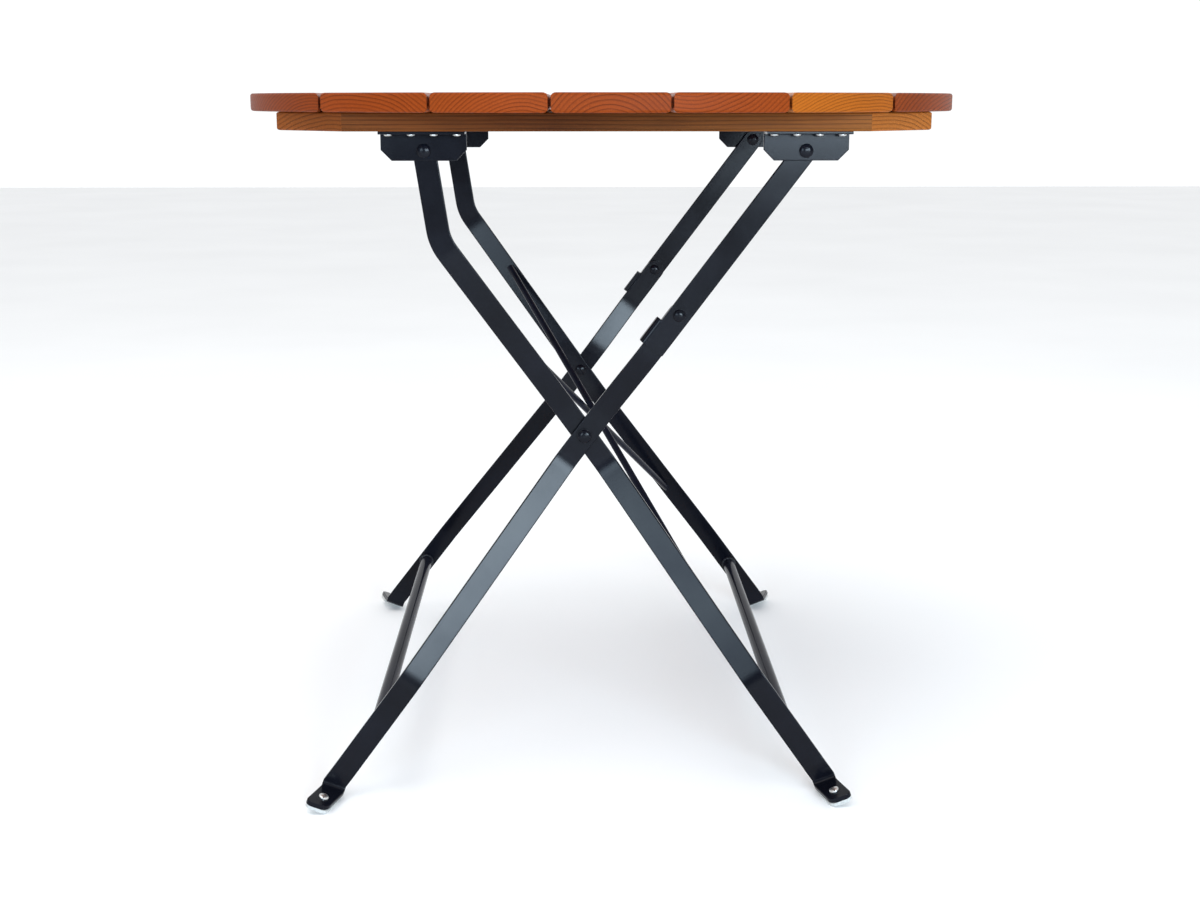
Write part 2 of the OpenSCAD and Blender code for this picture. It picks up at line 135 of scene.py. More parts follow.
class SteelSettings(bpy.types.PropertyGroup):
    """Sizes and colours of the powder-coated steel."""

    bar_width: FloatProperty(
        name="Bar width", description="Width of the flat bar", default=0.024, unit="LENGTH"
    )
    bar_thickness: FloatProperty(
        name="Bar thickness", description="Thickness of the flat bar", default=0.005, unit="LENGTH"
    )
    bar_edge: FloatProperty(
        name="Bar edge", description="Rounding of the flat bar's edges", default=0.0009, unit="LENGTH"
    )
    bend_height: FloatProperty(
        name="Bend height", description="Height of the bend in the bent legs", default=0.579, unit="LENGTH"
    )
    bent_lean: FloatProperty(
        name="Bent leg lean", description="Lean of the bent legs from upright", default=np.radians(35.6),
        subtype="ANGLE",
    )
    bend_radius: FloatProperty(
        name="Bend radius", description="Centre-line radius of that bend", default=0.055, unit="LENGTH"
    )
    link_tail: FloatProperty(
        name="Link tail", description="Length of a knee link past its knee rivet", default=0.046,
        unit="LENGTH",
    )
    tab_length: FloatProperty(
        name="Stop tab", description="Length of a knee link's stop tab", default=0.031, unit="LENGTH"
    )
    bracket_sheet: FloatProperty(
        name="Bracket sheet", description="Thickness of a bracket's sheet", default=0.003, unit="LENGTH"
    )
    bracket_corner: FloatProperty(
        name="Bracket corner", description="Cut of a bracket's lower corners", default=0.011, unit="LENGTH"
    )
    side_y: FloatProperty(
        name="Side", description="Outer face of the knee links, from the middle", default=0.241, unit="LENGTH"
    )
    waist_y: FloatProperty(
        name="Waist", description="Outer face of the straight legs at the crossing", default=0.224,
        unit="LENGTH",
    )
    splay_y: FloatProperty(
        name="Splay", description="The same where the splay ends", default=0.310, unit="LENGTH"
    )
    foot_y: FloatProperty(name="Foot", description="The same at the feet", default=0.324, unit="LENGTH")
    foot_slope: FloatProperty(
        name="Foot slope", description="Slope of a foot's bend line", default=np.radians(21.0),
        subtype="ANGLE",
    )
    foot_length: FloatProperty(
        name="Foot length", description="Length of a foot's tab", default=0.042, unit="LENGTH"
    )
    steel_colour: FloatVectorProperty(
        name="Steel colour", description="Blue-black powder coat", subtype="COLOR", size=3,
        default=(0.0032, 0.0036, 0.0062),
    )


class StageSettings(bpy.types.PropertyGroup):
    """Camera and floor."""

    camera_place: FloatVectorProperty(
        name="Camera place", description="Where the camera stands", subtype="TRANSLATION", size=3,
        default=(-0.044, -1.932, 0.723),
    )
    camera_turn: FloatVectorProperty(
        name="Camera turn", description="Camera's Euler angles", subtype="EULER", size=3,
        default=(np.radians(77.8), 0.0, np.radians(-1.26)),
    )
    lens: FloatProperty(
        name="Lens", description="Focal length in millimetres", default=48.65, unit="CAMERA"
    )
    floor_size: FloatProperty(
        name="Floor size", description="Width of the floor", default=24.0, unit="LENGTH"
    )


# ---- surfaces ----


def grid_faces(rows, columns):
    """Quads between neighbouring rings of a grid that closes round its columns."""
    r, c = np.meshgrid(np.arange(rows - 1), np.arange(columns), indexing="ij")
    n = (c + 1) % columns
    quads = [r * columns + c, r * columns + n, (r + 1) * columns + n, (r + 1) * columns + c]
    return np.stack(quads, -1).reshape(-1, 4)


def zipped(ring):
    """Faces across a convex ring of vertex numbers: each joins two neighbours to the two opposite."""
    n = len(ring)
    k = np.arange(n // 2 - 1)
    faces = np.stack([ring[k], ring[k + 1], ring[n - 2 - k], ring[n - 1 - k]], -1).tolist()
    middle = n // 2
    return faces + [ring[middle - 1 : middle + 2].tolist()] * (n % 2)


def closed_surface(rings):
    """Vertices and faces of a stack of rings (rows, columns, 3), closed by a flat cap at each end.

    The faces are turned outwards by the sign of the enclosed volume, the sum of a . (b x c) / 6.
    """
    rows, columns, _ = rings.shape
    points = rings.reshape(-1, 3)
    quads = grid_faces(rows, columns)
    first = np.arange(columns)
    faces = quads.tolist() + zipped(first[::-1]) + zipped((rows - 1) * columns + first)
    if quads_volume(points - points.mean(0), quads) < 0:
        faces = [f[::-1] for f in faces]
    return points, faces


def quads_volume(points, quads):
    """Signed volume under the quads, seen from the origin of the points."""
    a, b, c, d = (points[quads[:, k]] for k in range(4))
    return (np.einsum("ij,ij->i", a, np.cross(b, c)) + np.einsum("ij,ij->i", a, np.cross(c, d))).sum()


def joined(*surfaces):
    """One list of vertices and faces out of several."""
    points, faces, start = [], [], 0
    for p, f in surfaces:
        points.append(p)
        faces += [[i + start for i in face] for face in f]
        start += len(p)
    return np.concatenate(points), faces


def mirrored(surface, side):
    """The surface on the near side (side -1) or the far one (side 1); mirrored faces are turned back."""
    points, faces = surface
    if side > 0:
        return surface
    return points * [1, -1, 1], [f[::-1] for f in faces]


def piece(name, surface, materials, body, nodes=(), marks=None, sharp=38):
    """Object from a surface, riding on a body, with its own materials and each face's material number."""
    points, faces = surface
    mesh = bpy.data.meshes.new(name)
    mesh.from_pydata(points.tolist(), [], faces)
    for material in materials:
        mesh.materials.append(material)
    if marks is not None:
        mesh.polygons.foreach_set("material_index", np.asarray(marks, np.int32))
    mesh.polygons.foreach_set("use_smooth", np.ones(len(mesh.polygons), bool))
    mesh.set_sharp_from_angle(angle=np.radians(sharp))
    mesh.validate()
    obj = bpy.data.objects.new(name, mesh)
    bpy.context.scene.collection.objects.link(obj)
    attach(obj, body)
    if nodes:
        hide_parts(*nodes)
    return obj


def inset(corners, distance):
    """Convex corners moved in by a distance from both edges: each solves a . n1 = a . n2 = -distance."""
    after = np.roll(corners, -1, 0) - corners
    n2 = unit(np.stack([after[:, 1], -after[:, 0]], -1))
    n1 = np.roll(n2, 1, 0)
    return corners - distance * (n1 + n2) / (1 + (n1 * n2).sum(-1))[:, None]


def board(outline_at, radii, low, high, steps=5):
    """Board from low to high whose edges are rounded; radii (n) gives each outline point's rounding.

    outline_at(share, keep) is the plan outline moved in by that share of its roundings and by keep.
    At a turn t the share is 1 - cos t and the outline is r (1 - sin t) away from the board's face.
    A narrow flat strip beside each rounding keeps the faces' shading flat.
    """
    turns = np.linspace(0, np.pi / 2, steps + 1)
    quarter = [(outline_at(1 - np.cos(t), 0.0), radii * (1 - np.sin(t))) for t in turns]
    wall_strip = outline_at(0.0, 0.0), radii + FLAT_STRIP
    face_strip = outline_at(1.0, FLAT_STRIP), 0 * radii
    quarter = [wall_strip, *quarter, face_strip]
    rings = [np.column_stack([xy, low + z]) for xy, z in quarter[::-1]]
    rings += [np.column_stack([xy, high - z]) for xy, z in quarter]
    return closed_surface(np.array(rings))


def cornered_board(corners, per_edge, radius, low, high, steps=5):
    """Board whose plan is a convex polygon, each edge cut into per_edge lengths."""

    def outline_at(share, keep):
        return divided(inset(corners, radius * share + keep), per_edge)

    return board(outline_at, np.full(per_edge * len(corners), radius), low, high, steps)


def board_marks(surface, marked):
    """Material numbers of a board's faces: 1 on the marked edges' bands, 0 elsewhere."""
    points, faces = surface
    bands = np.tile(np.asarray(marked, int), len(points) // len(marked) - 1)
    return np.concatenate([bands, np.zeros(len(faces) - len(bands), int)])


def divided(points, per_edge):
    """Closed outline with each edge cut into per_edge lengths."""
    t = np.arange(per_edge) / per_edge
    after = np.roll(points, -1, 0)
    return (points[:, None] + (after - points)[:, None] * t[None, :, None]).reshape(-1, 2)


def bar(centres, widths, normals, half_width, half_thickness, radius, corner_steps=3):
    """Flat bar swept along its centres: a rectangle with rounded corners.

    A section point is centre + a * width direction + b * normal, where (a, b) runs round the rectangle:
    a corner's centre plus radius * (cos t, sin t). A narrow flat strip beside each corner, along its
    tangent (-sin t, cos t), keeps the bar's faces flat in the shading.
    """
    n = len(centres)
    arc = np.linspace(0, np.pi / 2, corner_steps + 1)
    turn = np.concatenate([[0], arc, [np.pi / 2]])
    strip = np.concatenate([[-1], 0 * arc, [1]]) * FLAT_STRIP
    quarter = np.repeat(np.arange(4), len(turn))
    t = np.tile(turn, 4) + quarter * np.pi / 2
    strip = np.tile(strip, 4)
    su = np.where((quarter == 0) | (quarter == 3), 1, -1)
    sv = np.where(quarter < 2, 1, -1)
    half_width = np.broadcast_to(half_width, (n,))[:, None]
    r = np.minimum(radius, half_width * 0.6)
    strip_a = np.minimum(half_width - r, FLAT_STRIP) / FLAT_STRIP * strip
    a = su * (half_width - r) + r * np.cos(t) - strip_a * np.sin(t)
    b = sv * (half_thickness - radius) + radius * np.sin(t) + strip * np.cos(t) + 0 * a
    rings = centres[:, None] + a[..., None] * widths[:, None] + b[..., None] * normals[:, None]
    return closed_surface(rings)


def unit(v):
    """Vectors scaled to length 1."""
    return v / np.linalg.norm(v, axis=-1, keepdims=True)


def eased(s, path, reach=0.009):
    """Height and slope of a polyline at s, its corners rounded by a running mean over +-reach."""
    shifts = np.linspace(-reach, reach, 25)
    places, heights = np.array(path).T
    nudge = 1e-5

    def mean_height(offset):
        return np.interp(s[:, None] + shifts + offset, places, heights).mean(1)

    return mean_height(0), (mean_height(nudge) - mean_height(-nudge)) / (2 * nudge)


# ---- flat-bar legs ----


def lean_vector(lean):
    """Direction down a bar that leans from upright, towards +X for a positive lean."""
    return np.array([np.sin(lean), -np.cos(lean)])


def leg_shape(steel):
    """The lengths and angles that both kinds of leg share."""
    t, gap = steel.bar_thickness, 0.0005
    knee_s = np.linalg.norm(KNEE - CROSSING)
    straight_lean = np.arctan2(BRACKET_RIGHT[0] - CROSSING[0], BRACKET_RIGHT[1] - CROSSING[1])
    bend = CROSSING + (steel.bend_height - CROSSING[1]) * np.array([-np.tan(steel.bent_lean), 1])
    bend_s = np.linalg.norm(bend - CROSSING)
    neck = bend - BRACKET_LEFT
    inset_y = t + gap
    straight_y = [
        (-knee_s - 0.1, steel.side_y - inset_y), (-knee_s + 0.057, steel.side_y - inset_y),
        (-0.036, steel.waist_y), (0.034, steel.waist_y), (0.308, steel.splay_y),
        (0.425, steel.foot_y), (0.6, steel.foot_y),
    ]
    bent_y = [
        (-bend_s - 0.2, steel.side_y), (-bend_s + 0.020, steel.side_y),
        (-0.036, steel.waist_y - inset_y), (0.040, steel.waist_y - inset_y),
        (0.308, steel.splay_y - inset_y), (0.425, steel.foot_y - inset_y), (0.6, steel.foot_y - inset_y),
    ]
    return {
        "knee_s": knee_s, "straight_lean": straight_lean, "bend": bend, "bend_s": bend_s,
        "neck_lean": np.arctan2(neck[0], -neck[1]), "neck_length": np.linalg.norm(neck),
        "straight_y": straight_y, "bent_y": bent_y,
        "glide": 0.0035, "glide_start": 0.014, "fold_radius": 0.004,
    }


def foot_place(steel, shape, lean, y):
    """Origin and axes of a foot: X down its bend line, Y outwards, Z up the leg's face.

    The height of the bend line stands the glide's lower edge on the floor, as the CAD part does.
    """
    slope = steel.foot_slope
    slant = abs(lean) - slope
    dip = np.arctan(np.tan(slant) * np.tan(slope))
    r = shape["fold_radius"]
    half = steel.bar_width / 2 / np.cos(slant)
    glide_x = np.tan(slant) * (2 * r - shape["glide_start"])
    z = (half + glide_x) * np.sin(slope) + (
        (shape["glide_start"] - r) * np.tan(dip) + (steel.bar_thickness + shape["glide"]) / np.cos(dip)
    ) * np.cos(slope)
    side = 1 if lean < 0 else -1
    origin = np.array([CROSSING[0] + (CROSSING[1] - z) * np.tan(-lean), y, z])
    across, up = np.cos(slope), np.sin(slope)
    axes = np.array([[-side * across, 0, -up], [0, 1, 0], [-side * up, 0, across]])
    return origin, axes, slant, dip, half


def foot_stations(steel, shape, lean, y):
    """Stations of a foot from the leg's last stretch round the bend to the tab's round-cornered end.

    The sections turn from square across the bar to parallel with the bend line, keeping the bar's edges:
    at an angle q from square the half width is w / cos q.
    """
    origin, axes, slant, dip, half = foot_place(steel, shape, lean, y)
    r, t = shape["fold_radius"], steel.bar_thickness
    w = steel.bar_width / 2
    q = np.linspace(0, 1, 8)
    turn_length = 0.016
    z = r + turn_length * (1 - q)
    turn = slant - slant * q
    run = {
        "outer": np.column_stack([z * np.tan(slant), 0 * z, z]),
        "width": np.column_stack([np.cos(turn), 0 * q, -np.sin(turn)]),
        "half": w / np.cos(slant * q),
        "normal": np.tile([0.0, 1, 0], (8, 1)),
    }
    a = np.linspace(0, np.pi / 2 - dip, 9)[1:]
    fold = {
        "outer": np.column_stack([0 * a + r * np.tan(slant), r * (1 - np.cos(a)), r * (1 - np.sin(a))]),
        "width": np.tile([1.0, 0, 0], (8, 1)),
        "half": 0 * a + half,
        "normal": np.column_stack([0 * a, np.cos(a), np.sin(a)]),
    }
    corner = 0.007
    c = np.linspace(0, np.pi / 2, 9)
    corner_start = steel.foot_length - corner
    v = np.concatenate([np.linspace(r + 0.002, corner_start, 9), corner_start + corner * np.sin(c[1:])])
    end = np.concatenate([np.zeros(9), corner * (1 - np.cos(c[1:]))])
    tab = {
        "outer": np.column_stack([np.tan(slant) * (2 * r - v), v, -(v - r) * np.tan(dip)]),
        "width": np.tile([1.0, 0, 0], (len(v), 1)),
        "half": half - end,
        "normal": np.tile([0, np.sin(dip), np.cos(dip)], (len(v), 1)),
    }
    parts = {k: np.concatenate([run[k], fold[k], tab[k]]) for k in run}
    centres = parts["outer"] - parts["normal"] * t / 2
    return origin + centres @ axes, parts["width"] @ axes, parts["normal"] @ axes, parts["half"], origin


def flat_run(points, directions, y, slope, half_width, steel):
    """Stations of a bar that follows points and directions in XZ and has its outer face at y.

    The normal is (outwards - slope * direction), scaled to 1, and the bar's middle is half its
    thickness inside its outer face.
    """
    down = np.column_stack([directions[:, 0], 0 * y, directions[:, 1]])
    normal = unit(np.array([0, 1.0, 0]) - slope[:, None] * down)
    across = np.column_stack([-directions[:, 1], 0 * y, directions[:, 0]])
    outer = np.column_stack([points[:, 0], y, points[:, 1]])
    return outer - normal * steel.bar_thickness / 2, across, normal, half_width


def leg_surface(steel, shape, lean, upper, s0, path):
    """A whole leg: its upper stations, then the straight run from s0 below the crossing to the foot."""
    y_foot = path[-1][1]
    foot = foot_stations(steel, shape, lean, y_foot)
    direction = lean_vector(-lean)
    origin = foot[4]
    foot_room, step = 0.022, 0.003
    s = np.arange(s0, np.linalg.norm(origin[[0, 2]] - CROSSING) - foot_room, step)
    y, slope = eased(s, path)
    points = CROSSING + s[:, None] * direction
    halves = np.full(len(s), steel.bar_width / 2)
    run = flat_run(points, np.tile(direction, (len(s), 1)), y, slope, halves, steel)
    sign = np.sign((foot[1][0] * run[1][-1]).sum())
    stations = [upper, run, (foot[0], foot[1] * sign, foot[2], foot[3])]
    centres, widths, normals, halves = (np.concatenate([part[k] for part in stations]) for k in range(4))
    return bar(centres, widths, normals, halves, steel.bar_thickness / 2, steel.bar_edge)


def round_end(middle, direction, y, steel):
    """Stations of a bar's round end above a pivot: at an angle t the half width is w sin t."""
    w = steel.bar_width / 2
    t = np.linspace(0.09, np.pi / 2, 14)
    points = middle - (w * np.cos(t))[:, None] * direction
    flat = np.zeros(14)
    return flat_run(points, np.tile(direction, (14, 1)), flat + y, flat, w * np.sin(t), steel)


def straight_leg(steel, shape):
    """Straight leg: round end, flats at the knee and the crossing, then the splay and the foot."""
    lean = shape["straight_lean"]
    top = round_end(KNEE, lean_vector(-lean), shape["straight_y"][0][1], steel)
    return leg_surface(steel, shape, lean, top, -shape["knee_s"] + 0.002, shape["straight_y"])


def bent_leg(steel, shape):
    """Bent leg: round end and neck under the bracket, the round bend, then the run down to the foot."""
    neck, low = shape["neck_lean"], steel.bent_lean
    r = steel.bend_radius
    cut = r * np.tan((low - neck) / 2)
    direction = lean_vector(neck)
    w = steel.bar_width / 2
    top = round_end(BRACKET_LEFT, direction, steel.side_y, steel)
    q = np.arange(0.003, shape["neck_length"] - cut, 0.004)
    centre = shape["bend"] + cut * lean_vector(low) + r * np.array([np.cos(low), np.sin(low)])
    a = np.linspace(neck, low, 14)
    arc = centre - r * np.column_stack([np.cos(a), np.sin(a)])
    points = np.concatenate([BRACKET_LEFT + q[:, None] * direction, arc])
    turns = np.concatenate([np.full(len(q), neck), a])
    directions = np.column_stack([np.sin(turns), -np.cos(turns)])
    flat = np.zeros(len(points))
    run = flat_run(points, directions, flat + steel.side_y, flat, flat + w, steel)
    upper = tuple(np.concatenate([top[k], run[k]]) for k in range(4))
    return leg_surface(steel, shape, -low, upper, -shape["bend_s"] + cut + 0.002, shape["bent_y"])


def knee_link(steel, shape):
    """Knee link: a straight bar, round and square ended, and a stop tab folded in from its edge."""
    lean = shape["straight_lean"]
    direction = lean_vector(-lean)
    w = steel.bar_width / 2
    top = round_end(BRACKET_RIGHT, direction, steel.side_y, steel)
    length = np.linalg.norm(BRACKET_RIGHT - KNEE) + steel.link_tail
    corner = 0.0018
    c = np.linspace(0, np.pi / 2, 6)
    q = np.concatenate([np.arange(0.003, length - corner, 0.006), length - corner * (1 - np.sin(c))])
    half = np.concatenate([np.full(len(q) - 6, w), w - corner * (1 - np.cos(c))])
    flat = np.zeros(len(q))
    points = BRACKET_RIGHT + q[:, None] * direction
    run = flat_run(points, np.tile(direction, (len(q), 1)), flat + steel.side_y, flat, half, steel)
    link = bar(
        *(np.concatenate([top[k], run[k]]) for k in range(4)), steel.bar_thickness / 2, steel.bar_edge
    )
    r = 0.003
    a = np.linspace(0, np.pi / 2, 8)
    out = w + 0.0028
    across = np.concatenate([[0.006, w - 0.002], out - r + r * np.sin(a), [out, out]])
    inward = np.concatenate([[0, 0], r * (1 - np.cos(a)), [0.0062, 0.0092]])
    normal_turn = np.concatenate([[0, 0], a, [np.pi / 2] * 2])
    side = np.array([-direction[1], 0, direction[0]]) * -1
    middle = KNEE + (steel.link_tail - steel.tab_length / 2) * direction
    centres = (
        np.array([middle[0], steel.side_y - steel.bar_thickness / 2, middle[1]])
        + across[:, None] * side - inward[:, None] * np.array([0, 1.0, 0])
    )
    normals = np.cos(normal_turn)[:, None] * np.array([0, 1.0, 0]) + np.sin(normal_turn)[:, None] * side
    widths = np.tile([direction[0], 0, direction[1]], (len(across), 1))
    halves = np.full(len(across), steel.tab_length / 2)
    halves[-1] -= 0.001
    tab = bar(centres, widths, normals, halves, steel.bar_thickness / 2 - 0.00005, steel.bar_edge)
    return joined(link, tab)


# ---- welds ----


def weld_ring(middle, radius, bead, ripples):
    """Weld bead round a tube's end: a ring of radius R whose section radius is b (1 + 0.13 sin(k t)).

    A point is (R + b cos p) along the spoke at t, and b sin p along Y.
    """
    t = np.linspace(0, 2 * np.pi, 96, endpoint=False)[:, None]
    p = np.linspace(0, 2 * np.pi, 10, endpoint=False)[None]
    b = bead * (1 + 0.13 * np.sin(ripples * t) + 0.06 * np.sin(3.0 * t + 1))
    spoke = radius + b * np.cos(p)
    grid = np.stack([spoke * np.cos(t), b * np.sin(p) + 0 * t, spoke * np.sin(t)], -1) + middle
    rows, columns = 96, 10
    quads = grid_faces(rows, columns)
    last = np.arange(columns) + (rows - 1) * columns
    first = np.arange(columns)
    seam = np.stack([last, np.roll(last, -1), np.roll(first, -1), first], -1)
    faces = np.concatenate([quads, seam])
    points = grid.reshape(-1, 3)
    if quads_volume(points - middle, faces) < 0:
        faces = faces[:, ::-1]
    return points, faces.tolist()


# ---- materials ----


class Nodes:
    """Short hand for a material's node tree."""

    def __init__(self, name):
        self.material = bpy.data.materials.new(name)
        self.material.use_nodes = True
        self.tree = self.material.node_tree
        self.shader = self.tree.nodes["Principled BSDF"]

    def add(self, kind, inputs=(), **settings):
        """New node with settings and inputs; an input that is a socket is linked."""
        node = self.tree.nodes.new(kind)
        for key, value in settings.items():
            setattr(node, key, value)
        for key, value in dict(inputs).items():
            self.set(node.inputs[key], value)
        return node

    def set(self, socket, value):
        """Links a socket, or sets its number or colour."""
        if isinstance(value, bpy.types.NodeSocket):
            self.tree.links.new(value, socket)
        else:
            socket.default_value = value

    def math(self, operation, a, b=0.0, clamp=False):
        """Result of a Math node."""
        node = self.add("ShaderNodeMath", {0: a, 1: b}, operation=operation, use_clamp=clamp)
        return node.outputs[0]

    def place(self, scale=(1, 1, 1), offset=(0, 0, 0)):
        """Object coordinates, moved and scaled."""
        coords = self.add("ShaderNodeTexCoord")
        inputs = {"Vector": coords.outputs["Object"], "Location": offset, "Scale": scale}
        return self.add("ShaderNodeMapping", inputs).outputs[0]

    def noise(self, vector, scale=1.0, detail=4.0, roughness=0.55, distortion=0.0):
        """Noise from 0 to 1."""
        node = self.add(
            "ShaderNodeTexNoise",
            {
                "Vector": vector, "Scale": scale, "Detail": detail, "Roughness": roughness,
                "Distortion": distortion,
            },
        )
        return node.outputs["Fac"]

    def ramp(self, value, stops):
        """Colour ramp with (place, colour) stops."""
        node = self.add("ShaderNodeValToRGB", {"Fac": value})
        elements = node.color_ramp.elements
        while len(elements) < len(stops):
            elements.new(0.5)
        for element, (place, colour) in zip(elements, stops):
            element.position = place
            element.color = (*colour, 1)
        return node.outputs["Color"]

    def remap(self, value, low, high, to_low, to_high):
        """Number moved from one range to another."""
        inputs = {"Value": value, "From Min": low, "From Max": high, "To Min": to_low, "To Max": to_high}
        return self.add("ShaderNodeMapRange", inputs).outputs["Result"]

    def mix(self, blend, factor, a, b):
        """Mixed colour."""
        node = self.add("ShaderNodeMix", data_type="RGBA", blend_type=blend)
        self.set(node.inputs["Factor"], factor)
        self.set(node.inputs[6], a)
        self.set(node.inputs[7], b)
        return node.outputs[2]

    def bump(self, height, strength, distance, normal=None):
        """Bump normal."""
        inputs = {"Height": height, "Strength": strength, "Distance": distance}
        if normal is not None:
            inputs["Normal"] = normal
        return self.add("ShaderNodeBump", inputs).outputs["Normal"]

    def finish(self, **sockets):
        """Sets the shader's sockets by name, with _ for a blank, and returns the material."""
        for key, value in sockets.items():
            self.set(self.shader.inputs[key.replace("_", " ")], value)
        return self.material


def shade(colour, factor):
    """Colour made darker or lighter."""
    return tuple(float(min(c * factor, 1)) for c in colour)


def wood_material(name, colour, grain, pith, spacing, end=False, seed=0.0):
    """Stained softwood: growth rings round a pith that runs along the grain, fibres, and a satin finish.

    A ring's tone follows the distance from the pith, r = |across - pith| + drift, so a board's faces show
    long lines and its ends show arcs.
    """
    n = Nodes(name)
    along = 1 if grain == "Y" else 0
    flat = [1.0, 1.0, 1.0]
    flat[along] = 0.0
    drift_scale = [9.0, 9.0, 9.0]
    drift_scale[along] = 1.6
    fibre_scale = [1500.0, 1500.0, 1500.0]
    fibre_scale[along] = 22.0 if not end else 900.0
    offset = [-pith[0], -pith[0], -pith[1]]
    offset[along] = 0.0
    across = n.add("ShaderNodeVectorMath", {0: n.place(tuple(flat), tuple(offset))}, operation="LENGTH")
    drift = n.noise(n.place(tuple(drift_scale), (seed, seed * 0.7, 0)), 1.0, 3.0, 0.5)
    radius = n.math("ADD", across.outputs["Value"], n.math("MULTIPLY", drift, 0.016))
    rings = n.math("MULTIPLY", radius, 1 / spacing)
    saw = n.math("FRACT", rings)
    late = n.remap(saw, 0.45, 0.97, 0.0, 1.0)
    late = n.math("POWER", n.math("MAXIMUM", late, 0.0), 1.7)
    early = n.remap(saw, 0.0, 0.12, 1.0, 0.0)
    line = n.math("MAXIMUM", n.math("MULTIPLY", early, 0.55), late, clamp=True)
    years = {"W": n.math("MULTIPLY", radius, 0.9 / spacing), "Detail": 2.0}
    widths = n.add("ShaderNodeTexNoise", years, noise_dimensions="1D").outputs["Fac"]
    line = n.math("MULTIPLY", line, n.remap(widths, 0.3, 0.7, 0.35, 1.0), clamp=True)
    darkest = shade(colour, 0.30 if end else 0.36)
    base = n.ramp(line, [(0.0, shade(colour, 1.12)), (0.45, shade(colour, 0.80)), (1.0, darkest)])
    fibres = n.noise(n.place(tuple(fibre_scale), (seed, 0, seed)), 1.0, 2.0, 0.6)
    fibre_tones = n.ramp(fibres, [(0.30, (0.74, 0.70, 0.66)), (0.62, (1.06, 1.05, 1.04))])
    base = n.mix("MULTIPLY", 1.0, base, fibre_tones)
    patches = n.noise(n.place((6, 6, 6), (seed * 1.3, 0, 0)), 1.0, 2.0, 0.5)
    patch_tones = n.ramp(patches, [(0.3, (0.70, 0.64, 0.58)), (0.7, (1.12, 1.12, 1.12))])
    base = n.mix("MULTIPLY", 0.55, base, patch_tones)
    if end:
        base = n.mix("MULTIPLY", 1.0, base, (0.92, 0.84, 0.76, 1))
    # Tone along a batten by its X: lighter at the left end, darker in the middle, golden and lightest at the
    # right end. The golden right end is the sapwood's own tone; the darker middle is painted shade under the
    # slats and the lighter ends painted light.
    if grain == "X":
        x = n.add("ShaderNodeSeparateXYZ", {0: n.place()}).outputs["X"]
        stops = [(0.0, (1.25, 1.2, 1.1)), (0.42, (0.72, 0.68, 0.66)), (1.0, (1.9, 2.1, 1.7))]
        base = n.mix("MULTIPLY", 1.0, base, n.ramp(n.remap(x, -0.34, 0.34, 0.0, 1.0), stops))
    height = n.math("ADD", n.math("MULTIPLY", fibres, 0.6), n.math("MULTIPLY", line, -0.5))
    rough = n.remap(fibres, 0.2, 0.8, 0.34, 0.52)
    gloss = (0.05, 0.0) if end or grain == "X" else (0.22, 0.08)
    return n.finish(
        Base_Color=base, Roughness=rough, Normal=n.bump(height, 0.22, 0.0004), Specular_IOR_Level=gloss[0],
        Coat_Weight=gloss[1], Coat_Roughness=0.2,
    )


def powder_coat(name, colour, gloss=0.13):
    """Glossy blue-black powder coat: a faint orange peel, dull patches and a few fine rubs."""
    n = Nodes(name)
    peel = n.noise(n.place((650, 650, 650)), 1.0, 2.0, 0.5)
    smear = n.noise(n.place((14, 14, 14)), 1.0, 4.0, 0.6)
    specks = n.noise(n.place((2600, 2600, 2600)), 1.0, 1.0, 0.5)
    tint = n.ramp(smear, [(0.35, shade(colour, 0.85)), (0.7, shade(colour, 1.5))])
    tint = n.mix("ADD", 1.0, tint, n.ramp(specks, [(0.72, (0, 0, 0)), (0.80, (0.012, 0.013, 0.016))]))
    rough = n.remap(smear, 0.25, 0.75, 0.13, 0.22)
    return n.finish(
        Base_Color=tint, Roughness=rough, Normal=n.bump(peel, 0.10, 0.0002), Specular_IOR_Level=gloss,
    )


def weld_coat(name, colour):
    """Powder coat over a weld: coarser and duller."""
    n = Nodes(name)
    lumps = n.noise(n.place((420, 420, 420)), 1.0, 3.0, 0.6)
    tint = n.ramp(lumps, [(0.3, shade(colour, 0.9)), (0.8, shade(colour, 2.4))])
    return n.finish(
        Base_Color=tint, Roughness=0.32, Normal=n.bump(lumps, 0.45, 0.0006), Specular_IOR_Level=0.3
    )


def zinc_plate(name):
    """Bright zinc on the screws, lightly brushed and spotted."""
    n = Nodes(name)
    grain = n.noise(n.place((900, 900, 900)), 1.0, 3.0, 0.6)
    spots = n.noise(n.place((160, 160, 160)), 1.0, 2.0, 0.5)
    tint = n.ramp(spots, [(0.3, (0.46, 0.46, 0.45)), (0.7, (0.78, 0.78, 0.77))])
    rough = n.remap(grain, 0.2, 0.8, 0.22, 0.42)
    return n.finish(Base_Color=tint, Metallic=1.0, Roughness=rough, Normal=n.bump(grain, 0.12, 0.0002))


def clear_glide(name):
    """Milky plastic of the glides, with scuffs."""
    n = Nodes(name)
    scuffs = n.noise(n.place((300, 300, 300)), 1.0, 4.0, 0.65)
    tint = n.ramp(scuffs, [(0.3, (0.52, 0.52, 0.50)), (0.7, (0.76, 0.76, 0.74))])
    rough = n.remap(scuffs, 0.2, 0.8, 0.28, 0.5)
    return n.finish(
        Base_Color=tint, Roughness=rough, Normal=n.bump(scuffs, 0.15, 0.0002),
        Transmission_Weight=0.25, IOR=1.46,
    )


def floor_material(name):
    """Matt pale floor."""
    n = Nodes(name)
    cloud = n.noise(n.place((1.4, 1.4, 1.4)), 1.0, 3.0, 0.5)
    tint = n.ramp(cloud, [(0.3, (0.88, 0.88, 0.88)), (0.7, (0.91, 0.91, 0.91))])
    return n.finish(Base_Color=tint, Roughness=0.9, Specular_IOR_Level=0.1)


